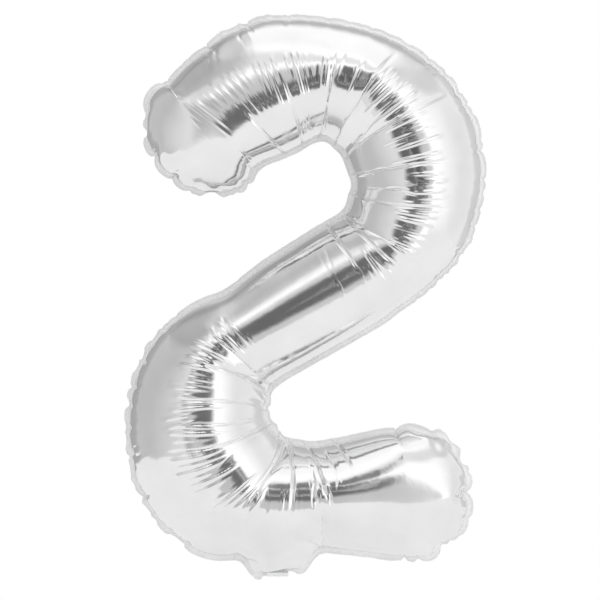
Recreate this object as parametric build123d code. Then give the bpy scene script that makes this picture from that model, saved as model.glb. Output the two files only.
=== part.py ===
"""Foil number balloon in the shape of a 2, inflated, with its filling neck folded up behind it.

Two sheets of metallised film are welded together round their edge and blown up between. The weld leaves a
flat border all round. At the bottom of the foot the outline runs out into a shoulder, where a short flat
neck leaves it. A self-sealing valve, two strips of clear film, lies between the foils in the neck, passes
through the border and ends in a loose tongue inside the balloon.

Units are millimetres. +X is to the reader's right, +Z is up and the reader stands on the -Y side. The
origin is at the root of the neck, on the balloon's lower edge, where a ribbon is tied.
"""

import os
from math import cos, degrees, pi, radians, sin

from build123d import *

# Centreline of the stroke, on the welded seam plane, y = 0
HOOK_RADIUS = 240.0  # upper left arm
HOOK_SWEEP = 46.0
BOWL_RADIUS = 150.0  # round the right of the upper loop
LEAN = 31.0  # slope of the diagonal
DIAGONAL = 236.0
HEEL_RADIUS = 131.0  # round the left of the lower loop
FOOT_RISE = 3.0  # slope of the foot, up to the right
FOOT = 178.0

# Half of the stroke's width, border included, at shares of the centreline's length
HALF_WIDTHS = [
    (0.00, 100), (0.07, 105), (0.17, 98), (0.28, 107), (0.36, 102), (0.44, 92), (0.58, 89),
    (0.71, 110), (0.80, 112), (0.90, 90), (1.00, 101),
]
BORDER = 7.0  # width of the flat welded border
DEPTH_SHARE = 0.86  # height of each panel's bulge, as a share of half of the stroke's width
WALL = 0.8  # stands for film a few hundredths thick
STATIONS = 72  # sections along the stroke

# Shoulder, where the outline runs out to the neck
SHOULDER_DROP = 19.0
SHOULDER_FLAT = 20.0  # half of its flat bottom
SHOULDER_REACH = 70.0  # from its middle to where it has died out
SHOULDER_ALONG = -12.0  # its middle, from the start of the foot
OUTER_STRETCH = 1.8  # round the heel, the outer edge's length against the centreline's

# Neck, from the fold line under the border to its cut end
FOLD_DROP = 2.0  # the fold line, below the balloon's lower edge
FOLD_GAP = 0.4  # from the fold line to the neck's films
NECK_HALF = 17.0
NECK_WELD = 3.0  # welded margin down each side of the neck
NECK_LENGTH = 95.0
NECK_WALL = 0.5
NECK_ROOT_BULGE = 1.6
NECK_MOUTH_BULGE = 5.6
NECK_SECTIONS = 7

# Valve, in three lengths: in the neck, through the border, and the loose tongue
VALVE_HALF = 10.0
VALVE_WELD = 1.5
VALVE_WALL = 0.4
VALVE_ROOT_BULGE = 0.8
VALVE_MOUTH_BULGE = 4.4
VALVE_RECESS = 3.0  # the valve's end, in from the neck's cut end
VALVE_CLEAR = 0.05  # between the valve and the border that it passes through
TONGUE_HINGE = BORDER + 4 * WALL  # height of the line about which the tongue swings
TONGUE_LENGTH = 75.0
TONGUE_LEAN = 56.0  # back from upright, where the tongue lies against the back panel
TONGUE_GAP = 0.3


def centreline():
    """The stroke's centreline, drawn as a flat XY wire whose Y stands for Z, and the neck's place along it."""
    start = (cos(radians(HOOK_SWEEP)), sin(radians(HOOK_SWEEP)))
    hook = JernArc((0, 0), start, HOOK_RADIUS, -HOOK_SWEEP)
    bowl = JernArc(hook @ 1, hook % 1, BOWL_RADIUS, -(180 - LEAN))
    diagonal = PolarLine(bowl @ 1, DIAGONAL, 180 + LEAN)
    heel = JernArc(diagonal @ 1, diagonal % 1, HEEL_RADIUS, 180 - LEAN + FOOT_RISE)
    foot = PolarLine(heel @ 1, FOOT, FOOT_RISE)
    drawn = Wire([hook, bowl, diagonal, heel, foot])
    neck_at = drawn.length - FOOT + SHOULDER_ALONG
    share = neck_at / drawn.length
    way = drawn.tangent_at(share)
    root = drawn.position_at(share) + Vector(way.Y, -way.X) * (half_width(share) + SHOULDER_DROP)
    return drawn.moved(Location((-root.X, -root.Y, 0))), neck_at


def half_width(share):
    """Half of the stroke's width at a share of its length, joined smoothly between the listed ones."""
    for (low, narrow), (high, wide) in zip(HALF_WIDTHS, HALF_WIDTHS[1:]):
        if share <= high:
            step = (share - low) / (high - low)
            return narrow + (wide - narrow) * (1 - cos(pi * step)) / 2
    return HALF_WIDTHS[-1][1]


def shoulder(distance):
    """How far the outer edge drops at a distance along the stroke from the neck's middle."""
    along_edge = distance if distance > 0 else -distance * OUTER_STRETCH
    beyond = (along_edge - SHOULDER_FLAT) / (SHOULDER_REACH - SHOULDER_FLAT)
    step = min(1.0, max(0.0, beyond))
    return SHOULDER_DROP * (1 + cos(pi * step)) / 2


def bulge_arc(half_chord, rise, side, base=0.0, whole=True):
    """Arc that stands up from the seam plane: across the whole width, or from the edge to the middle."""
    start = (half_chord, side * base)
    top = (0, side * (base + rise))
    if whole:
        return ThreePointArc(start, top, (-half_chord, side * base))
    radius = (half_chord**2 + rise**2) / (2 * rise)
    middle = rise - radius
    half_angle = radians(Vector(half_chord, -middle).get_angle(Vector(0, 1))) / 2
    between = (radius * sin(half_angle), side * (base + middle + radius * cos(half_angle)))
    return ThreePointArc(start, between, top)


def film_section(half, weld, rise, wall, side, whole=True):
    """Section of one welded, bulging film: flat margins on the seam plane and an arched wall between.

    side is -1 for the film on the reader's side and +1 for the one behind. With whole False it is the
    half from the middle to the edge, to be turned about the middle.
    """
    crease = half - weld
    outer = bulge_arc(crease, rise - wall, side, wall, whole)
    inner = bulge_arc(crease - wall, rise - wall, side, 0.0, whole)
    far = side * wall
    near_edge = [Line(inner @ 0, (half, 0)), Line((half, 0), (half, far)), Line((half, far), outer @ 0)]
    if whole:
        far_edge = [Line(outer @ 1, (-half, far)), Line((-half, far), (-half, 0)), Line((-half, 0), inner @ 1)]
    else:
        far_edge = [Line(outer @ 1, inner @ 1)]
    return make_face([outer, *far_edge, inner, *near_edge])


def station(spine, share, neck_at):
    """Section plane at a share of the stroke, and half of the stroke's width there.

    The plane's x is the right-hand side of the way the stroke runs, and its y is +Y.
    """
    at = spine.position_at(share)
    way = spine.tangent_at(share)
    right = Vector(way.Y, 0, -way.X)
    drop = shoulder(share * spine.length - neck_at)
    middle = Vector(at.X, 0, at.Y) + right * (drop / 2)
    plane = Plane(origin=middle, x_dir=right, z_dir=Vector(way.X, 0, way.Y))
    return plane, half_width(share) + drop / 2


def panel(side):
    """One foil panel, an open trough of film along the whole stroke, with a round end at each end."""
    spine, neck_at = centreline()
    sections = []
    ends = []
    for i in range(STATIONS + 1):
        plane, half = station(spine, i / STATIONS, neck_at)
        rise = DEPTH_SHARE * (half - BORDER)
        sections.append(plane * film_section(half, BORDER, rise, WALL, side))
        if i in (0, STATIONS):
            quarter = plane * film_section(half, BORDER, rise, WALL, side, whole=False)
            turn = -180 if i else 180
            ends.append(revolve(quarter, Axis(plane.origin, (0, 1, 0)), turn))
    shell = loft(sections, ruled=True).fuse(*ends)
    slot_half = VALVE_WALL + VALVE_CLEAR
    passage = Box(2 * (VALVE_HALF + VALVE_CLEAR), 2 * slot_half, 4 * BORDER)
    return shell - passage


def neck_plane(along):
    """Section plane of the folded neck, at a distance along it from the fold line.

    The neck follows the back panel's curve, so it lies close behind the balloon.
    """
    spine, neck_at = centreline()
    half = half_width(neck_at / spine.length) + SHOULDER_DROP / 2
    crease = half - BORDER
    rise = DEPTH_SHARE * crease - WALL
    radius = (crease**2 + rise**2) / (2 * rise)
    centre = Vector(0, WALL + rise - radius, half)
    root = Vector(0, 0, -FOLD_DROP) - centre
    turned = root.rotate(Axis.X, degrees(along / root.length))
    way = Vector(1, 0, 0).cross(turned).normalized()
    return Plane(origin=centre + turned, x_dir=(1, 0, 0), z_dir=way)


def neck_film(half, weld, wall, root_rise, mouth_rise, end, side):
    """One film of the folded neck, from flat at the root to puckered open at the mouth."""
    sections = []
    for i in range(NECK_SECTIONS + 1):
        step = i / NECK_SECTIONS
        rise = root_rise + (mouth_rise - root_rise) * step**2
        plane = neck_plane(FOLD_GAP + (end - FOLD_GAP) * step)
        sections.append(plane * film_section(half, weld, rise, wall, side))
    return loft(sections)


def valve_strip(low, high, side, lean=0.0):
    """A flat strip of valve film between two heights, turned back about the tongue's hinge by lean."""
    film = Pos(0, side * VALVE_WALL / 2, (low + high) / 2) * Box(2 * VALVE_HALF, VALVE_WALL, high - low)
    return film.rotate(Axis((0, 0, TONGUE_HINGE), (1, 0, 0)), -lean)


def save(name, shape):
    export_step(shape, f"parts/{name}.step")


os.makedirs("parts", exist_ok=True)
for word, side in (("front", -1), ("back", 1)):
    save(f"{word}_panel", panel(side))
    # Folded up, the neck is the other way about: its front foil is the outermost
    foil = neck_film(NECK_HALF, NECK_WELD, NECK_WALL, NECK_ROOT_BULGE, NECK_MOUTH_BULGE, NECK_LENGTH, -side)
    save(f"neck_{word}_foil", foil)
    valve_end = NECK_LENGTH - VALVE_RECESS
    mouth = neck_film(VALVE_HALF, VALVE_WELD, VALVE_WALL, VALVE_ROOT_BULGE, VALVE_MOUTH_BULGE, valve_end, -side)
    save(f"valve_{word}_film_mouth", mouth)
    save(f"valve_{word}_film_throat", valve_strip(0, TONGUE_HINGE - TONGUE_GAP, side))
    tongue_start = TONGUE_HINGE + TONGUE_GAP
    save(f"valve_{word}_film_tongue", valve_strip(tongue_start, TONGUE_HINGE + TONGUE_LENGTH, side, TONGUE_LEAN))
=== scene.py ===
import random
from math import atan, cos, copysign, exp, pi, radians, sin, sqrt

import bmesh
import bpy
from mathutils import Matrix, Vector, noise


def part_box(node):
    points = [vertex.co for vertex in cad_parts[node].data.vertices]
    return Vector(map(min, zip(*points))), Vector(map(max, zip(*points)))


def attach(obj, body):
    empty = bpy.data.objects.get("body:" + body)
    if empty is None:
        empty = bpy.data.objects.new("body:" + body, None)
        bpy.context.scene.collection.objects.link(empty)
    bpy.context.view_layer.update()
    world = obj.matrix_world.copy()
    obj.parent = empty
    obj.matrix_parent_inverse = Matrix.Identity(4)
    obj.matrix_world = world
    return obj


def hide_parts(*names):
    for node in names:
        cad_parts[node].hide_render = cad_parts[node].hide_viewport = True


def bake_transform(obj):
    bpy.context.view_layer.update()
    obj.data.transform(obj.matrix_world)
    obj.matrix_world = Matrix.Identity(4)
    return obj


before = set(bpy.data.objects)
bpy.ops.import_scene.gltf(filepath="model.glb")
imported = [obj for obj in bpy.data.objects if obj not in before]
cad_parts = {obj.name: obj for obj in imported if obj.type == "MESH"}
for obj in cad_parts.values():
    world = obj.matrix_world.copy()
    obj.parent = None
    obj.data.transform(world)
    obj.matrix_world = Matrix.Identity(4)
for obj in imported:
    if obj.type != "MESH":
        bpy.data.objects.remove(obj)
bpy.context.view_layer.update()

scene = bpy.context.scene


# --- The cut of the foils ---------------------------------------------------------------------
# The balloon is two foils of thin plastic film with a silver metal coat, cut to one numeral and
# heat-welded together round the edge. The numeral is a stroke of changing width along a middle
# line of arcs and straights, and at the foot it runs out into a shoulder for the neck.

def bend(radius, turn):
    """Length and turn, in degrees, of a round stretch of the middle line. A turn to the left is above 0."""
    return radius * radians(abs(turn)), turn


START_HEADING = radians(46)  # of the middle line, at the tip of the hook
FOOT = 0.178
STROKE = [bend(0.240, -46), bend(0.150, -149), (0.236, 0), bend(0.131, 152), (FOOT, 0)]
LENGTH = sum(length for length, turn in STROKE)

# Half of the stroke's width at shares of its length, and the welded border inside it
HALF_WIDTHS = [
    (0.00, 0.100), (0.07, 0.105), (0.17, 0.098), (0.28, 0.107), (0.36, 0.102), (0.44, 0.092),
    (0.58, 0.089), (0.71, 0.110), (0.80, 0.112), (0.90, 0.090), (1.00, 0.101),
]
WELD = 0.007
DEPTH_SHARE = 0.86  # bulge of one foil against half of the stroke's width

SHOULDER_DROP = 0.019
SHOULDER_FLAT = 0.020
SHOULDER_REACH = 0.070
SHOULDER_AT = LENGTH - FOOT - 0.012
OUTER_STRETCH = 1.8  # round the heel, the outer edge's length against the middle line's

ROW = 0.002  # from one row of the cloth to the next, along the stroke
ROWS = round(LENGTH / ROW)
ROW = LENGTH / ROWS
NECK_ROW = round(SHOULDER_AT / ROW)
BULGE_ANGLE = 2 * atan(DEPTH_SHARE)  # that each half of a bulging foil turns through


def turned(start, stop):
    """How far the middle line turns between two places along it, in radians."""
    turning, begins = 0.0, 0.0
    for length, turn in STROKE:
        shared = min(stop, begins + length) - max(start, begins)
        turning += radians(turn) * max(0.0, shared) / length
        begins += length
    return turning


def half_width(share):
    """Half of the stroke's width, joined smoothly between the listed ones."""
    for (low, narrow), (high, wide) in zip(HALF_WIDTHS, HALF_WIDTHS[1:]):
        if share <= high:
            step = (share - low) / (high - low)
            return narrow + (wide - narrow) * (1 - cos(pi * step)) / 2
    return HALF_WIDTHS[-1][1]


def shoulder(along):
    """How far the outer edge runs out towards the neck."""
    distance = along - SHOULDER_AT
    along_edge = distance if distance > 0 else -distance * OUTER_STRETCH
    step = (along_edge - SHOULDER_FLAT) / (SHOULDER_REACH - SHOULDER_FLAT)
    return SHOULDER_DROP * (1 + cos(pi * min(1.0, max(0.0, step)))) / 2


drops = [shoulder(row * ROW) for row in range(ROWS + 1)]
halves = [half_width(row / ROWS) + drops[row] / 2 for row in range(ROWS + 1)]
radii = [(half - WELD) / sin(BULGE_ANGLE) for half in halves]  # of the bulging foil, seen in section
films = [radius * BULGE_ANGLE + WELD for radius in radii]  # half of the film's width, still flat

GATHER = 1.28  # a bend turns this much further blown up than it did as it was cut
CUT_BLUR = 0.0135  # the cut eases into each bend over this much either side


def middle_line(gather, blur, edges):
    """The stroke's middle line as (point, way, right) at each row, with its edge at the neck on the origin.

    A gather above 1 gives the line as it was cut. There the film is longer round the outside of a bend
    than a flat ring would be, so that it lies smooth when blown up, and the inside is left too long.
    """
    heading = START_HEADING + turned(0, SHOULDER_AT) * (1 - 1 / gather)
    point = Vector((0, 0, 0))
    line = []
    for row in range(ROWS + 1):
        way = Vector((cos(heading), 0, sin(heading)))
        right = Vector((way.z, 0, -way.x))
        line.append((point + right * drops[row] / 2, way, right))
        place = (row + 0.5) * ROW
        turn = turned(place - blur, place + blur) * ROW / (2 * blur)
        step = ROW
        if gather > 1:
            step += abs(turn) * (films[row] / gather - halves[row])
        between = heading + turn / gather / 2
        point = point + Vector((cos(between), 0, sin(between))) * step
        heading += turn / gather
    root = line[NECK_ROW][0] + line[NECK_ROW][2] * edges[NECK_ROW]
    return [(point - root, way, right) for point, way, right in line]


blown_line = middle_line(1, ROW / 2, halves)
cut_line = middle_line(GATHER, CUT_BLUR, films)


# --- The cloth of the foils -------------------------------------------------------------------
# Each foil is one grid of cloth, with its rows across the stroke and a round cap of rows at each
# end. The last two rings all round are the weld. Blown up, film bends but doesn't stretch, so
# the inside of each bend, which is too long, gathers into creases that run out from the bay.

COLUMNS = 17  # from the middle of the stroke to its edge
CAP_ROWS = 14
WELD_RINGS = 2
FRONT, BACK = -1, 1

# Creases of each bend: where one leaves the seam in the bay and where it ends, as shares of the
# stroke's length, and how far across it reaches, from 1 at that seam to -1 at the outer one
UPPER_CREASES = [
    (0.075, 0.050, 0.10), (0.110, 0.100, -0.10), (0.140, 0.160, -0.40), (0.185, 0.205, -0.55),
    (0.240, 0.253, -0.55), (0.300, 0.303, -0.45), (0.370, 0.343, -0.35), (0.435, 0.410, -0.30),
    (0.455, 0.450, 0.00),
]
LOWER_CREASES = [
    (0.600, 0.632, -0.30), (0.687, 0.700, -0.27), (0.775, 0.740, -0.30), (0.847, 0.810, -0.20),
    (0.874, 0.867, -0.10), (0.890, 0.910, 0.00), (0.922, 0.944, 0.30),
]
BETWEEN_BENDS = 0.52 * LENGTH


def ring_share(ring, rings, curved):
    """Share of the film's half width at a ring of the grid. The weld's rings share what isn't curved."""
    inner = rings - WELD_RINGS
    if ring <= inner:
        return curved * ring / inner
    return curved + (1 - curved) * (ring - inner) / WELD_RINGS


def on_film(row, column):
    """A grid corner's row of the stroke, its way out from the middle line, and how that way splits."""
    station = min(max(row, 0), ROWS)
    curved = BULGE_ANGLE * radii[station] / films[station]
    across = copysign(ring_share(abs(column), COLUMNS, curved), column)
    past = copysign(ring_share(abs(row - station), CAP_ROWS, curved), row - station)
    far = max(abs(across), abs(past), 1e-9)
    sideways = across / far * sqrt(1 - (past / far) ** 2 / 2)
    endways = past / far * sqrt(1 - (across / far) ** 2 / 2)
    return station, far * films[station], sideways, endways


def blown_place(row, column, side):
    """Where a corner of the cloth lies on a smooth, full balloon."""
    station, out, sideways, endways = on_film(row, column)
    radius = radii[station]
    angle = min(out / radius, BULGE_ANGLE)
    level_out = radius * sin(angle) + out - radius * angle
    height = radius * (cos(angle) - cos(BULGE_ANGLE))
    middle, way, right = blown_line[station]
    return middle + (right * sideways + way * endways) * level_out + Vector((0, side * height, 0))


def cut_place(row, column):
    """Where a corner of the cloth lay on the flat film."""
    station, out, sideways, endways = on_film(row, column)
    middle, way, right = cut_line[station]
    return middle + (right * sideways + way * endways) * out


def towards_bay(along, across):
    """A share across the stroke, turned so that it is 1 at the seam inside the bend and -1 outside it."""
    return across if along < BETWEEN_BENDS else -across


def crease(along, across, width):
    """How deep in a crease a point of the film lies, from 0 to 1."""
    inside = towards_bay(along, across)
    deepest = 0.0
    for leaves, ends, reach in UPPER_CREASES if along < BETWEEN_BENDS else LOWER_CREASES:
        way_along = (1 - inside) / (1 - reach)
        if way_along > 1:
            continue
        off = along - (leaves + (ends - leaves) * way_along) * LENGTH
        if abs(off) > 3 * width:
            continue
        fade = min(1.0, 3 * (1 - way_along)) * min(1.0, 6 * way_along + 0.3)
        deepest = max(deepest, fade * exp(-((off / width) ** 2)))
    return deepest


def foil_grid():
    """One foil's grid of cloth, still flat and square, with each corner's row and column."""
    grid = bmesh.new()
    rows = ROWS + 2 * CAP_ROWS
    bmesh.ops.create_grid(grid, x_segments=2 * COLUMNS, y_segments=rows, size=1.0)
    row_layer = grid.verts.layers.int.new("row")
    column_layer = grid.verts.layers.int.new("column")
    for corner in grid.verts:
        corner[row_layer] = round((corner.co.y + 1) / 2 * rows) - CAP_ROWS
        corner[column_layer] = round(corner.co.x * COLUMNS)
    return grid, row_layer, column_layer


def ring_from_edge(row, column):
    """How many rings a corner is in from the edge of the foil."""
    past = max(-row, row - ROWS, 0)
    from_side = COLUMNS - abs(column)
    return min(from_side, CAP_ROWS - past) if past else from_side


# --- Blowing it up ----------------------------------------------------------------------------
# The two foils are joined along the weld's inner ring and filled with gas until the film is
# tight. The cloth starts on the smooth balloon with its creases pressed in, and then takes the
# lengths that the film had flat, which leaves it only the creased shape to settle in.

CREASE_DEPTH = 0.008  # of the starting shape's creases
CREASE_WIDTH = 0.004
UNEVEN = 0.00015  # of the starting shape, so that the film doesn't buckle all at once
FRAMES = 24
PIN_REACH = 0.020  # the weld is held this far round the neck


def weld_pair():
    """Front and back foil as one bmesh, joined all round, with each corner's row, column and side."""
    pair, row_layer, column_layer = foil_grid()
    side_layer = pair.verts.layers.int.new("side")
    for corner in pair.verts:
        corner[side_layer] = FRONT
    copied = bmesh.ops.duplicate(pair, geom=pair.verts[:] + pair.edges[:] + pair.faces[:])["geom"]
    back_faces = [item for item in copied if isinstance(item, bmesh.types.BMFace)]
    for item in copied:
        if isinstance(item, bmesh.types.BMVert):
            item[side_layer] = BACK
    bmesh.ops.reverse_faces(pair, faces=back_faces)

    def ring(corner):
        return ring_from_edge(corner[row_layer], corner[column_layer])

    doubled = [face for face in back_faces if all(ring(corner) <= WELD_RINGS for corner in face.verts)]
    bmesh.ops.delete(pair, geom=doubled, context="FACES")
    seam = [corner for corner in pair.verts if ring(corner) == WELD_RINGS]
    bmesh.ops.remove_doubles(pair, verts=seam, dist=1e-6)
    return pair, row_layer, column_layer, side_layer


def blow_up():
    """Runs the cloth and returns where each (side, row, column) comes to rest."""
    pair, row_layer, column_layer, side_layer = weld_pair()
    corners = [(corner[side_layer], corner[row_layer], corner[column_layer]) for corner in pair.verts]
    chance = random.Random(1)
    held, pressed, starting, cut = [], [], [], []
    for index, (side, row, column) in enumerate(corners):
        ring = ring_from_edge(row, column)
        place = blown_place(row, column, side)
        if ring > WELD_RINGS:
            along = min(max(row, 0), ROWS) * ROW
            middle = blown_line[min(max(row, 0), ROWS)][0]
            outwards = (place - middle).normalized()
            if 0 < row < ROWS:
                place -= outwards * CREASE_DEPTH * crease(along, column / COLUMNS, CREASE_WIDTH)
            place += Vector([chance.gauss(0, UNEVEN) for axis in range(3)])
        if ring < WELD_RINGS and place.length < PIN_REACH:
            held.append(index)
        if ring >= WELD_RINGS:
            pressed.append(index)
        starting.append(place)
        cut.append(cut_place(row, column))
    for corner, place in zip(pair.verts, starting):
        corner.co = place
    mesh = bpy.data.meshes.new("cloth")
    pair.to_mesh(mesh)
    pair.free()
    cloth = bpy.data.objects.new("cloth", mesh)
    scene.collection.objects.link(cloth)
    cloth.vertex_groups.new(name="held").add(held, 1.0, "REPLACE")
    cloth.vertex_groups.new(name="pressed").add(pressed, 1.0, "REPLACE")
    cloth.shape_key_add(name="blown")
    as_cut = cloth.shape_key_add(name="cut")
    for point, place in zip(as_cut.data, cut):
        point.co = place
    for when, value in ((1, 0.0), (2, 0.0), (3, 1.0)):
        as_cut.value = value
        as_cut.keyframe_insert("value", frame=when)

    modifier = cloth.modifiers.new("cloth", "CLOTH")
    film = modifier.settings
    film.quality = 4
    film.mass = 0.0008
    film.tension_stiffness = 30
    film.compression_stiffness = 30
    film.shear_stiffness = 8
    film.bending_model = "ANGULAR"
    film.bending_stiffness = 0.0005
    film.bending_damping = 0.5
    film.air_damping = 1
    film.use_pressure = True
    film.uniform_pressure_force = 150
    film.vertex_group_pressure = "pressed"
    film.vertex_group_mass = "held"
    film.pin_stiffness = 1
    film.use_dynamic_mesh = True
    film.effector_weights.gravity = 0
    modifier.collision_settings.use_collision = False
    modifier.point_cache.frame_start = 1
    modifier.point_cache.frame_end = FRAMES
    scene.frame_start = 1
    scene.frame_end = FRAMES
    for moment in range(1, FRAMES + 1):
        scene.frame_set(moment)
    settled = cloth.evaluated_get(bpy.context.evaluated_depsgraph_get()).to_mesh()
    places = {corner: point.co.copy() for corner, point in zip(corners, settled.vertices)}
    scene.frame_set(1)
    bpy.data.objects.remove(cloth)
    bpy.data.meshes.remove(mesh)
    return places


settled_places = blow_up()


def settled_place(side, row, column):
    """A corner of the settled cloth. The seam's corners belong to both foils and are kept once."""
    return settled_places.get((side, row, column)) or settled_places[(-side, row, column)]


# The drawn outline holds: each row is shifted back to it at both seams, but the shift is averaged
# over a longer stretch than one scallop, so the scallops of the seam stay.
SCALLOP_ROWS = 20


def seam_shifts(column):
    """Shift, at each row, from the settled seam on one side of the stroke to the drawn one."""
    gaps = [
        blown_place(row, column, FRONT) - settled_place(FRONT, row, column)
        for row in range(ROWS + 1)
    ]
    shifts = []
    for row in range(ROWS + 1):
        near = gaps[max(0, row - SCALLOP_ROWS):row + SCALLOP_ROWS + 1]
        shift = sum(near, Vector()) / len(near)
        shift.y = 0
        shifts.append(shift)
    return shifts


SEAM_COLUMN = COLUMNS - WELD_RINGS
SEAM_ROW = CAP_ROWS - WELD_RINGS  # past either end
# Where the full balloon stands out past that outline, or falls short of it: share of the stroke's
# length, share either side that it fades over, side of the stroke (right is 1), and how far out
SWELLS = [
    (0.09, 0.08, -1, 0.009), (0.145, 0.05, 1, -0.007), (0.40, 0.06, -1, -0.007),
    (0.60, 0.07, 1, -0.007), (0.635, 0.04, -1, 0.008), (0.775, 0.09, 1, 0.015),
]
FOOT_PULL = 0.007  # of the foot's round end, back towards the heel


def swell(row, side):
    """How far the seam on one side of the stroke stands out past the drawn outline."""
    out = 0.0
    for share, reach, swollen_side, most in SWELLS:
        near = abs(row / ROWS - share) / reach
        if side == swollen_side and near < 1:
            out += most * (1 + cos(pi * near)) / 2
    return out


left_shifts = seam_shifts(-SEAM_COLUMN)
right_shifts = seam_shifts(SEAM_COLUMN)
tip_shifts = {
    end: blown_place(row, 0, FRONT) - settled_place(FRONT, row, 0)
    for end, row in ((-1, -SEAM_ROW), (1, ROWS + SEAM_ROW))
}


def drawn_back(side, row, column):
    """A corner of the settled cloth, shifted back to the drawn outline."""
    station = min(max(row, 0), ROWS)
    rightwards = (column / SEAM_COLUMN + 1) / 2
    shift = left_shifts[station].lerp(right_shifts[station], rightwards)
    right = blown_line[station][2]
    shift = shift + right * (swell(station, 1) * rightwards**2 - swell(station, -1) * (1 - rightwards) ** 2)
    if row != station:
        end = 1 if row > station else -1
        tip = tip_shifts[end].copy()
        tip.y = 0
        if end > 0:
            tip -= blown_line[station][1] * FOOT_PULL
        shift = shift.lerp(tip, abs(row - station) / SEAM_ROW)
    return settled_place(side, row, column) + shift


# The weld is stiffer than the film and stays a flat band outside the seam, cut a little unevenly
NOTCH = 0.09  # of the weld's width
NOTCH_SCALE = 45
WELD_WAVE = 0.0007


def foil_place(side, row, column):
    """Where a corner of a finished foil goes: the settled cloth, and the weld laid outside its seam."""
    seam_row = min(max(row, -SEAM_ROW), ROWS + SEAM_ROW)
    seam_column = min(max(column, -SEAM_COLUMN), SEAM_COLUMN)
    seam = drawn_back(side, seam_row, seam_column)
    if (seam_row, seam_column) == (row, column):
        return seam
    band = blown_place(row, column, side) - blown_place(seam_row, seam_column, side)
    spot = seam * NOTCH_SCALE
    uneven = noise.noise(spot) + 0.6 * noise.noise(spot * 3)
    wave = Vector((0, WELD_WAVE * noise.noise(spot * 1.7 + Vector((9, 0, 0))), 0))
    return seam + band * (1 + NOTCH * uneven) + wave * band.length / WELD


# --- Silver foil ------------------------------------------------------------------------------
# The film's metal coat is a bright, slightly cloudy mirror. It carries faint rolling marks and
# fine crinkles from being folded flat in its packet. The weld is pressed duller.

def new_material(name):
    """An empty node material and its Principled shader."""
    material = bpy.data.materials.new(name)
    material.use_nodes = True
    tree = material.node_tree
    return material, tree.nodes, tree.links, tree.nodes["Principled BSDF"]


def add(nodes, kind, **values):
    """A shader node with its sockets or settings filled in."""
    node = nodes.new(kind)
    for name, value in values.items():
        if name in node.inputs:
            node.inputs[name].default_value = value
        else:
            setattr(node, name, value)
    return node


WELD_METAL = 0.45  # how far the pressed weld still looks like metal
WELD_ROUGHNESS = 0.60
FOIL_ROUGHNESS = (0.07, 0.16)
CLOUD_SCALE = 14.0
CRINKLE_SCALE = 55.0
GRAIN_SCALE = 900.0
GRAIN_STRENGTH = (0.02, 0.35)  # on the film and on the weld


def silver_foil():
    """Mirror-bright metal film, duller and finely grained in the weld."""
    material, nodes, links, shader = new_material("silver_foil")
    place = add(nodes, "ShaderNodeTexCoord")
    weld = add(nodes, "ShaderNodeAttribute", attribute_name="weld")
    coat = add(nodes, "ShaderNodeMapRange")
    coat.inputs["To Min"].default_value = 1.0
    coat.inputs["To Max"].default_value = WELD_METAL
    links.new(weld.outputs["Fac"], coat.inputs["Value"])
    links.new(coat.outputs["Result"], shader.inputs["Metallic"])

    cloud = add(nodes, "ShaderNodeTexNoise", Scale=CLOUD_SCALE, Detail=4.0, Roughness=0.55)
    links.new(place.outputs["Object"], cloud.inputs["Vector"])
    tint = add(nodes, "ShaderNodeValToRGB")
    tint.color_ramp.elements[0].position = 0.3
    tint.color_ramp.elements[0].color = (0.87, 0.87, 0.873, 1)
    tint.color_ramp.elements[1].position = 0.7
    tint.color_ramp.elements[1].color = (0.94, 0.94, 0.94, 1)
    links.new(cloud.outputs["Fac"], tint.inputs["Fac"])
    links.new(tint.outputs["Color"], shader.inputs["Base Color"])

    sheen = add(nodes, "ShaderNodeMapRange")
    sheen.inputs["To Min"].default_value = FOIL_ROUGHNESS[0]
    sheen.inputs["To Max"].default_value = FOIL_ROUGHNESS[1]
    links.new(cloud.outputs["Fac"], sheen.inputs["Value"])
    dull = add(nodes, "ShaderNodeMix", data_type="FLOAT")
    links.new(weld.outputs["Fac"], dull.inputs["Factor"])
    links.new(sheen.outputs["Result"], dull.inputs["A"])
    dull.inputs["B"].default_value = WELD_ROUGHNESS
    links.new(dull.outputs["Result"], shader.inputs["Roughness"])

    crinkle = add(nodes, "ShaderNodeTexNoise", Scale=CRINKLE_SCALE, Detail=3.0, Roughness=0.5)
    links.new(place.outputs["Object"], crinkle.inputs["Vector"])
    grain = add(nodes, "ShaderNodeTexNoise", Scale=GRAIN_SCALE, Detail=2.0)
    links.new(place.outputs["Object"], grain.inputs["Vector"])
    soft_bump = add(nodes, "ShaderNodeBump", Strength=0.12, Distance=0.0015)
    links.new(crinkle.outputs["Fac"], soft_bump.inputs["Height"])
    fine_bump = add(nodes, "ShaderNodeBump", Distance=0.0002)
    grain_share = add(nodes, "ShaderNodeMapRange")
    grain_share.inputs["To Min"].default_value = GRAIN_STRENGTH[0]
    grain_share.inputs["To Max"].default_value = GRAIN_STRENGTH[1]
    links.new(weld.outputs["Fac"], grain_share.inputs["Value"])
    links.new(grain_share.outputs["Result"], fine_bump.inputs["Strength"])
    links.new(grain.outputs["Fac"], fine_bump.inputs["Height"])
    links.new(soft_bump.outputs["Normal"], fine_bump.inputs["Normal"])
    links.new(fine_bump.outputs["Normal"], shader.inputs["Normal"])
    return material


foil_material = silver_foil()


# --- Front foil and back foil -----------------------------------------------------------------
# The settled cloth, finished as two pieces. Between the big creases the tight film stands in
# combs of short parallel ridges across the crown of each bend, and the seam is puckered.

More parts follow.
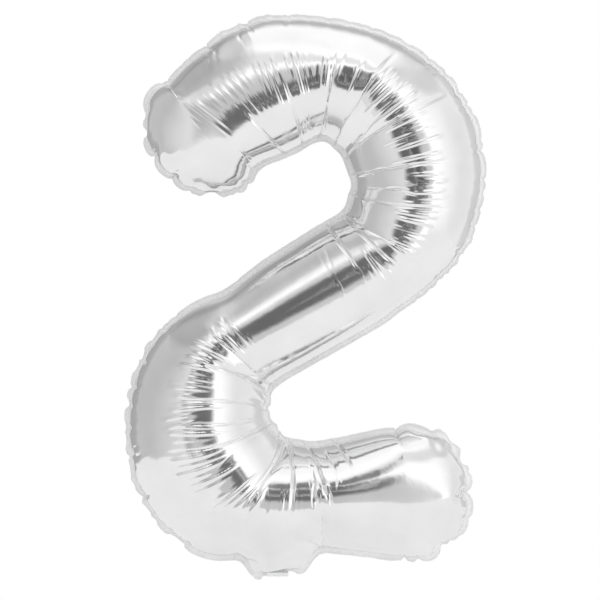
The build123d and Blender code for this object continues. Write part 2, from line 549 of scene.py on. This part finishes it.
FILM = 0.0003  # stands for film a few hundredths of a millimetre thick
TOOTH = 0.0085  # from ridge to ridge of a comb
TOOTH_HEIGHT = 0.0019
FULL_BEND = 7.0  # radians per metre, where the combs are at their highest
GROOVE_DEPTH = 0.0024
GROOVE_WIDTH = 0.0022
PUCKER = 0.00035
PUCKER_SPACING = 0.0105
PUCKER_FROM = 0.72  # share of the way across at which the puckers begin
MISSING_TEETH = 0.15  # share of the ridges that the film hasn't formed


def make_teeth():
    """The combs' ridges: (place along, strength, inner end, outer end, slant), the same each time."""
    chance = random.Random(7)
    teeth = []
    for index in range(int(LENGTH / TOOTH)):
        along = (index + 0.5 + chance.uniform(-0.2, 0.2)) * TOOTH
        bent = abs(turned(along - 0.02, along + 0.02)) / 0.04
        strength = min(1.0, bent / FULL_BEND) * chance.uniform(0.3, 1.0)
        if chance.random() < MISSING_TEETH:
            strength = 0.0
        creases = UPPER_CREASES if along < BETWEEN_BENDS else LOWER_CREASES
        leaves, ends, reach = min(creases, key=lambda each: abs(each[1] * LENGTH - along))
        slant = (ends - leaves) * LENGTH / (1 - reach)
        teeth.append((along, strength, chance.uniform(0.0, 0.3), chance.uniform(-0.32, -0.2), slant))
    return teeth


teeth = make_teeth()


def ridge_height(along, across):
    """Height of the combs' ridges over the film, in shares of a whole ridge."""
    inside = towards_bay(along, across)
    height = 0.0
    nearest = int(along / TOOTH)
    for index in range(max(0, nearest - 2), min(len(teeth), nearest + 3)):
        place, strength, inner, outer, slant = teeth[index]
        if not outer < inside < inner:
            continue
        off = abs(along - place + slant * inside) / (TOOTH / 2)
        if off < 1:
            fade = min(1.0, (inner - inside) / 0.12, (inside - outer) / 0.05)
            height += strength * fade * (1 + cos(pi * off)) / 2
    return height


def pucker_height(along, across):
    """Height of the small gathers beside the seam, in shares of a whole one."""
    near_seam = max(0.0, abs(across) - PUCKER_FROM) / 0.2
    if not near_seam:
        return 0.0
    wave = sin(2 * pi * along / PUCKER_SPACING + 3 * noise.noise(Vector((along * 40, across, 0))))
    bent = abs(turned(along - 0.01, along + 0.01)) > 0.01
    in_bay = 0.45 if towards_bay(along, across) > 0 and bent else 1.0
    return in_bay * wave * min(1.0, near_seam) * (0.5 + noise.noise(Vector((along * 25, 5, across))))


def finish_foil(name, side):
    """One foil as its own object, from the settled cloth."""
    grid, row_layer, column_layer = foil_grid()
    along_layer = grid.verts.layers.float.new("along")
    across_layer = grid.verts.layers.float.new("across")
    weld_layer = grid.verts.layers.float.new("weld")
    for corner in grid.verts:
        row, column = corner[row_layer], corner[column_layer]
        ring = ring_from_edge(row, column)
        corner[along_layer] = row * ROW
        corner[across_layer] = column / COLUMNS
        corner[weld_layer] = 1.0 if ring <= WELD_RINGS else 0.0
        corner.co = foil_place(side, row, column)
        if ring <= WELD_RINGS:
            corner.co.y += side * FILM / 2
    if side == BACK:
        bmesh.ops.reverse_faces(grid, faces=grid.faces)
    for layer_name in ("row", "column"):
        grid.verts.layers.int.remove(grid.verts.layers.int[layer_name])
    for face in grid.faces:
        face.smooth = True
    mesh = bpy.data.meshes.new(name)
    grid.to_mesh(mesh)
    grid.free()
    foil = bpy.data.objects.new(name, mesh)
    scene.collection.objects.link(foil)

    rounding = foil.modifiers.new("rounding", "SUBSURF")
    rounding.levels = 1
    rounding.render_levels = 1
    finished = bpy.data.meshes.new_from_object(foil.evaluated_get(bpy.context.evaluated_depsgraph_get()))
    foil.modifiers.clear()
    foil.data = finished
    finished.name = name
    bpy.data.meshes.remove(mesh)
    alongs = finished.attributes["along"].data
    acrosses = finished.attributes["across"].data
    outwards = [vertex.normal.copy() for vertex in finished.vertices]
    for vertex, outward in zip(finished.vertices, outwards):
        along, across = alongs[vertex.index].value, acrosses[vertex.index].value
        if 0 < along < LENGTH:
            lift = TOOTH_HEIGHT * ridge_height(along, across)
            lift += PUCKER * pucker_height(along, across)
            lift -= GROOVE_DEPTH * crease(along, across, GROOVE_WIDTH)
            vertex.co += outward * lift
    foil.data.materials.append(foil_material)
    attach(foil, "envelope")
    return foil


front_foil = finish_foil("front_foil", FRONT)
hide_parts("front_panel")
back_foil = finish_foil("back_foil", BACK)
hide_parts("back_panel")


# --- Neck -------------------------------------------------------------------------------------
# The foils' own tab, by which the balloon is filled: the same two films, welded down both sides
# and left open at the end. It is folded up behind the balloon, its front film outermost, and
# lies round the back foil's curve. It is crinkled, and the pipe has puckered its mouth open.

NECK_HALF = 0.017
NECK_WELD = 0.003
NECK_LENGTH = 0.095
NECK_MOUTH_BULGE = 0.0056
NECK_ROOT_BULGE = 0.0004
NECK_START = 0.004  # the films start here, inside the fold
FOLD_DROP = 0.002
PANEL_WALL = 0.0008
CRINKLE = 0.0006
FILM_WALL = 0.00012  # thickness that a loose film is drawn with

crease_out = halves[NECK_ROW] - WELD
back_rise = DEPTH_SHARE * crease_out - PANEL_WALL
back_radius = (crease_out**2 + back_rise**2) / (2 * back_rise)
back_centre = Vector((0, PANEL_WALL + back_rise - back_radius, halves[NECK_ROW]))
neck_root = Vector((0, 0, -FOLD_DROP)) - back_centre


def neck_place(sideways, along, off):
    """A point beside the neck's middle line: sideways, along it from the fold, and off it, outwards."""
    angle = along / neck_root.length
    outwards = Vector((
        0,
        neck_root.y * cos(angle) - neck_root.z * sin(angle),
        neck_root.y * sin(angle) + neck_root.z * cos(angle),
    )).normalized()
    return back_centre + outwards * (neck_root.length + off) + Vector((sideways, 0, 0))


def film_sheet(name, columns, rows, place, material, body, turned_over=False):
    """A loose film with a wall: a grid that goes where place says for a share across and along.

    Its sides carry the weld's finish in the share of its width that the neck's weld takes up.
    """
    sheet = bmesh.new()
    bmesh.ops.create_grid(sheet, x_segments=columns, y_segments=rows, size=1.0)
    weld = sheet.verts.layers.float.new("weld")
    for corner in sheet.verts:
        corner[weld] = 1.0 if abs(corner.co.x) > 1 - NECK_WELD / NECK_HALF else 0.0
        corner.co = place(corner.co.x, (corner.co.y + 1) / 2)
    if turned_over:
        bmesh.ops.reverse_faces(sheet, faces=sheet.faces)
    for face in sheet.faces:
        face.smooth = True
    mesh = bpy.data.meshes.new(name)
    sheet.to_mesh(mesh)
    sheet.free()
    film = bpy.data.objects.new(name, mesh)
    scene.collection.objects.link(film)
    wall = film.modifiers.new("wall", "SOLIDIFY")
    wall.thickness = FILM_WALL
    wall.offset = 0
    film.data.materials.append(material)
    if body:
        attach(film, body)
    return film


def puckered(half, weld, start, end, root_bulge, mouth_bulge, side):
    """Where one film of a flat tube's pair goes, from flat at its root to puckered open at its mouth."""

    def place(across, share):
        sideways = across * half
        along = start + (end - start) * share
        inside = max(0.0, 1 - (abs(sideways) / (half - weld)) ** 2)
        bulge = root_bulge + (mouth_bulge - root_bulge) * share**1.5
        ridged = 1 - 2 * abs(noise.noise(Vector((sideways * 90, along * 55, side * 4))))
        off = (bulge * inside + CRINKLE * (ridged - 0.6) * min(1.0, 2 * inside) * share) * side
        sway = 0.0006 * noise.noise(Vector((0, along * 30, 1)))
        return neck_place(sideways, along, off + side * FILM / 2 + sway * share)

    return place


for word, side in (("front", 1), ("back", -1)):
    film = film_sheet(
        f"neck_{word}_film", 28, 90,
        puckered(
            NECK_HALF, NECK_WELD, NECK_START, NECK_LENGTH, NECK_ROOT_BULGE, NECK_MOUTH_BULGE, side,
        ),
        foil_material, "neck", turned_over=side > 0,
    )
    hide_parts(f"neck_{word}_foil")


# --- Fold of the neck -------------------------------------------------------------------------
# Both foils run on from the border's lower edge into the neck, round one soft crease. The front
# foil is the outside of the crease and the back foil the inside. It opens when the neck is
# brought down to fill the balloon.

FOLD_TOP = Vector((0, 0, 0.004))
FOLD_BOTTOM = Vector((0, 0, -0.0055))
FOLD_END = neck_place(0, 0.009, 0)
FOLD_HALF = NECK_HALF + 0.0004
FOLD_LAYER = 0.0006


def round_fold(side):
    """Where one foil of the fold goes: a curve down from the border and back up on to the neck."""

    def place(across, share):
        rest = 1 - share
        middle = FOLD_TOP * rest**2 + FOLD_BOTTOM * 2 * share * rest + FOLD_END * share**2
        way = (FOLD_BOTTOM - FOLD_TOP) * rest + (FOLD_END - FOLD_BOTTOM) * share
        outwards = Vector((0, way.z, -way.y)).normalized()
        layer = FOLD_LAYER * (1 - 0.5 * abs(across) ** 3)
        ripple = 0.0002 * noise.noise(Vector((across * 6, share * 2, side)))
        return middle + outwards * (side * layer + ripple) + Vector((across * FOLD_HALF, 0, 0))

    return place


for word, side in (("front", 1), ("back", -1)):
    fold = film_sheet(
        f"neck_fold_{word}", 28, 24, round_fold(side), foil_material, None,
        turned_over=side < 0,
    )
    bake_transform(fold)


# --- Valve ------------------------------------------------------------------------------------
# Two strips of clear plastic film, welded together down both sides. They run from just inside
# the neck's mouth, through the border, and end as a loose tongue inside the balloon, which the
# gas presses flat against a foil to seal it.

VALVE_HALF = 0.010
VALVE_WELD = 0.0015
VALVE_RECESS = 0.003
VALVE_MOUTH_BULGE = 0.0042
TONGUE_HINGE = 0.0102
TONGUE_LENGTH = 0.075
TONGUE_LEAN = radians(56)  # back from upright
TONGUE_GAP = 0.0003
TONGUE_CURL = 0.0027  # of the tongue's tip, backwards
TONGUE_RIPPLE = 0.0004
TONGUE_PARTING = 0.0005  # of the two strips, at the tongue's tip
VALVE_GAP = 0.00006  # from the middle to a strip where they lie flat
VALVE_ROUGHNESS = (0.12, 0.30)
VALVE_ALPHA = (0.35, 0.65)


def clear_film():
    """Clear plastic film, a little milky, with fine draw lines."""
    material, nodes, links, shader = new_material("clear_film")
    shader.inputs["Base Color"].default_value = (0.88, 0.90, 0.92, 1)
    shader.inputs["IOR"].default_value = 1.5
    place = add(nodes, "ShaderNodeTexCoord")
    milk = add(nodes, "ShaderNodeTexNoise", Scale=60.0, Detail=4.0)
    links.new(place.outputs["Object"], milk.inputs["Vector"])
    sheen = add(nodes, "ShaderNodeMapRange")
    sheen.inputs["To Min"].default_value = VALVE_ROUGHNESS[0]
    sheen.inputs["To Max"].default_value = VALVE_ROUGHNESS[1]
    links.new(milk.outputs["Fac"], sheen.inputs["Value"])
    links.new(sheen.outputs["Result"], shader.inputs["Roughness"])
    haze = add(nodes, "ShaderNodeMapRange")
    haze.inputs["To Min"].default_value = VALVE_ALPHA[0]
    haze.inputs["To Max"].default_value = VALVE_ALPHA[1]
    links.new(milk.outputs["Fac"], haze.inputs["Value"])
    links.new(haze.outputs["Result"], shader.inputs["Alpha"])
    stretched = add(nodes, "ShaderNodeMapping")
    stretched.inputs["Scale"].default_value = (1200, 60, 60)
    links.new(place.outputs["Object"], stretched.inputs["Vector"])
    lines = add(nodes, "ShaderNodeTexNoise", Scale=1.0, Detail=2.0)
    links.new(stretched.outputs["Vector"], lines.inputs["Vector"])
    bump = add(nodes, "ShaderNodeBump", Strength=0.2, Distance=0.0002)
    links.new(lines.outputs["Fac"], bump.inputs["Height"])
    links.new(bump.outputs["Normal"], shader.inputs["Normal"])
    return material


valve_material = clear_film()


def valve_throat(side):
    """Where a strip goes between the foils, through the border."""
    top = TONGUE_HINGE - TONGUE_GAP

    def place(across, share):
        return Vector((across * VALVE_HALF, side * VALVE_GAP, top * share))

    return place


def valve_tongue(side):
    """Where a strip goes inside the balloon, leaning back with its tip curled backwards."""
    upright = Vector((0, sin(TONGUE_LEAN), cos(TONGUE_LEAN)))
    backwards = Vector((0, cos(TONGUE_LEAN), -sin(TONGUE_LEAN)))

    def place(across, share):
        out = TONGUE_GAP + (TONGUE_LENGTH - TONGUE_GAP) * share
        ripple = TONGUE_RIPPLE * noise.noise(Vector((across * 3, share * 9, 2)))
        parting = TONGUE_PARTING * share**3 * (1 - across**2)
        off = side * (VALVE_GAP + parting) + (TONGUE_CURL * share**2 + ripple) * share
        return Vector((across * VALVE_HALF, 0, TONGUE_HINGE)) + upright * out + backwards * off

    return place


for word, side in (("front", 1), ("back", -1)):
    in_neck = puckered(
        VALVE_HALF, VALVE_WELD, NECK_START, NECK_LENGTH - VALVE_RECESS, NECK_ROOT_BULGE / 2,
        VALVE_MOUTH_BULGE, side,
    )
    mouth = film_sheet(
        f"valve_{word}_mouth", 16, 60, in_neck, valve_material, "neck", turned_over=side > 0,
    )
    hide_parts(f"valve_{word}_film_mouth")
    throat = film_sheet(
        f"valve_{word}_throat", 10, 8, valve_throat(-side), valve_material, "envelope",
        turned_over=side < 0,
    )
    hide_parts(f"valve_{word}_film_throat")
    tongue = film_sheet(
        f"valve_{word}_tongue", 10, 40, valve_tongue(-side), valve_material, "valve_tongue",
        turned_over=side < 0,
    )
    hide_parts(f"valve_{word}_film_tongue")


# --- Floor, light and camera ------------------------------------------------------------------
# A pale painted floor below the balloon, a soft white studio round it, two dark cards that only
# the foil reflects, and a camera straight in front.

low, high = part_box("front_panel")

FLOOR_DROP = 0.35
FLOOR_SIZE = 4.0
ground = bmesh.new()
bmesh.ops.create_grid(ground, x_segments=1, y_segments=1, size=FLOOR_SIZE / 2)
bmesh.ops.translate(ground, verts=ground.verts, vec=(0, 0, low.z - FLOOR_DROP))
floor_mesh = bpy.data.meshes.new("floor")
ground.to_mesh(floor_mesh)
ground.free()
floor = bpy.data.objects.new("floor", floor_mesh)
scene.collection.objects.link(floor)
floor_material, nodes, links, shader = new_material("pale_floor")
shader.inputs["Roughness"].default_value = 0.8
place = add(nodes, "ShaderNodeTexCoord")
mottle = add(nodes, "ShaderNodeTexNoise", Scale=3.0, Detail=2.0)
paint = add(nodes, "ShaderNodeValToRGB")
paint.color_ramp.elements[0].color = (0.91, 0.91, 0.91, 1)
paint.color_ramp.elements[1].color = (0.95, 0.95, 0.95, 1)
links.new(place.outputs["Object"], mottle.inputs["Vector"])
links.new(mottle.outputs["Fac"], paint.inputs["Fac"])
links.new(paint.outputs["Color"], shader.inputs["Base Color"])
floor.data.materials.append(floor_material)

# The studio is white all round, greyer to the left, behind and in one band overhead, with a grey
# opening in front that the camera stands in. What the camera sees past the balloon is plain white.
BACK_TO_FRONT = [
    (0.00, 0.30), (0.04, 0.36), (0.08, 0.62), (0.25, 0.74), (0.33, 0.98), (0.60, 0.95), (0.72, 1.05),
    (0.90, 1.20), (0.94, 0.66), (1.00, 0.55),
]
LEFT_TO_RIGHT = [(0.00, 0.56), (0.28, 0.66), (0.36, 1.00), (0.80, 1.00), (1.00, 0.84)]
DOWN_TO_UP = [
    (0.00, 0.95), (0.25, 1.00), (0.40, 1.05), (0.80, 1.00), (0.84, 0.74), (0.90, 0.78), (0.94, 1.10),
    (1.00, 1.10),
]
MATT_LIFT = 1.3  # the studio lights matt surfaces this much more than it shows in the foil
studio = bpy.data.worlds.new("studio")
scene.world = studio
studio.use_nodes = True
nodes, links = studio.node_tree.nodes, studio.node_tree.links
nodes.clear()
direction = add(nodes, "ShaderNodeTexCoord")


def zone_tones(axis, steps):
    """Grey tones of the studio by how far a direction points along an axis, from -1 to 1."""
    along_axis = add(nodes, "ShaderNodeVectorMath", operation="DOT_PRODUCT")
    along_axis.inputs[1].default_value = axis
    links.new(direction.outputs["Generated"], along_axis.inputs[0])
    share = add(nodes, "ShaderNodeMapRange")
    share.inputs["From Min"].default_value = -1
    links.new(along_axis.outputs["Value"], share.inputs["Value"])
    zones = add(nodes, "ShaderNodeValToRGB")
    ramp = zones.color_ramp
    for position, tone in steps[1:-1]:
        ramp.elements.new(position)
    for element, (position, tone) in zip(ramp.elements, steps):
        element.position = position
        element.color = (tone, tone, tone, 1)
    links.new(share.outputs["Result"], zones.inputs["Fac"])
    return zones.outputs["Color"]


def darkened(first, second):
    """Two sets of tones multiplied."""
    both = add(nodes, "ShaderNodeVectorMath", operation="MULTIPLY")
    links.new(first, both.inputs[0])
    links.new(second, both.inputs[1])
    return both.outputs["Vector"]


tones = zone_tones((0, -1, 0), BACK_TO_FRONT)
tones = darkened(tones, zone_tones((1, 0, 0), LEFT_TO_RIGHT))
tones = darkened(tones, zone_tones((0, 0, 1), DOWN_TO_UP))
lit = add(nodes, "ShaderNodeBackground")
links.new(tones, lit.inputs["Color"])
lift = add(nodes, "ShaderNodeMapRange")
lift.inputs["To Min"].default_value = 1.0
lift.inputs["To Max"].default_value = MATT_LIFT
seen = add(nodes, "ShaderNodeBackground", Color=(1, 1, 1, 1))
rays = add(nodes, "ShaderNodeLightPath")
either = add(nodes, "ShaderNodeMixShader")
output = add(nodes, "ShaderNodeOutputWorld")
links.new(rays.outputs["Is Diffuse Ray"], lift.inputs["Value"])
links.new(lift.outputs["Result"], lit.inputs["Strength"])
links.new(rays.outputs["Is Camera Ray"], either.inputs["Fac"])
links.new(lit.outputs["Background"], either.inputs[1])
links.new(seen.outputs["Background"], either.inputs[2])
links.new(either.outputs["Shader"], output.inputs["Surface"])
scene.view_settings.view_transform = "Standard"

# Two dark cards with soft edges hang in front and show only in the foil: a wide one that gives
# the crown of the whole stroke its dark band, and a tall one above it that the foot reflects.
# Each is given by how far to the right and up its middle is, and by its width and height.
CARD_DISTANCE = 1.0
CARDS = {"wide_card": (0.10, 0.54, 1.00, 0.75), "tall_card": (0.20, 0.95, 0.36, 1.00)}
CARD_GREY = 0.08
CARD_COVER = 0.85  # opacity of a card's middle
CARD_EDGE = 0.6  # share of the way out at which a card begins to fade
for name, (across, up, width, height) in CARDS.items():
    hanging = bmesh.new()
    bmesh.ops.create_grid(hanging, x_segments=1, y_segments=1, size=0.5)
    bmesh.ops.scale(hanging, verts=hanging.verts, vec=(width, height, 1))
    bmesh.ops.rotate(hanging, verts=hanging.verts, matrix=Matrix.Rotation(radians(90), 3, "X"))
    card_mesh = bpy.data.meshes.new(name)
    hanging.to_mesh(card_mesh)
    hanging.free()
    card = bpy.data.objects.new(name, card_mesh)
    card.location = (across, -CARD_DISTANCE, up)
    scene.collection.objects.link(card)
    card.visible_camera = False
    card.visible_diffuse = False
    card.visible_shadow = False
    card.visible_transmission = False
    card_material, nodes, links, shader = new_material(name)
    shader.inputs["Base Color"].default_value = (CARD_GREY, CARD_GREY, CARD_GREY, 1)
    shader.inputs["Roughness"].default_value = 0.9
    place = add(nodes, "ShaderNodeTexCoord")
    from_middle = add(nodes, "ShaderNodeVectorMath", operation="MULTIPLY")
    from_middle.inputs[1].default_value = (2 / width, 0, 2 / height)
    edgewards = add(nodes, "ShaderNodeVectorMath", operation="LENGTH")
    fade = add(nodes, "ShaderNodeMapRange", interpolation_type="SMOOTHSTEP")
    fade.inputs["From Min"].default_value = CARD_EDGE
    fade.inputs["From Max"].default_value = 1.0
    fade.inputs["To Min"].default_value = CARD_COVER
    fade.inputs["To Max"].default_value = 0.0
    links.new(place.outputs["Object"], from_middle.inputs[0])
    links.new(from_middle.outputs["Vector"], edgewards.inputs[0])
    links.new(edgewards.outputs["Value"], fade.inputs["Value"])
    links.new(fade.outputs["Result"], shader.inputs["Alpha"])
    card.data.materials.append(card_material)

DISTANCE = 4.5
VIEW_WIDTH = 0.926
CAMERA_RIGHT = 0.0355
CAMERA_HEIGHT = 0.4243
camera_data = bpy.data.cameras.new("camera")
camera_data.lens = camera_data.sensor_width * DISTANCE / VIEW_WIDTH
camera = bpy.data.objects.new("camera", camera_data)
scene.collection.objects.link(camera)
camera.location = (CAMERA_RIGHT, -DISTANCE, CAMERA_HEIGHT)
camera.rotation_euler = (radians(90), 0, 0)
scene.camera = camera
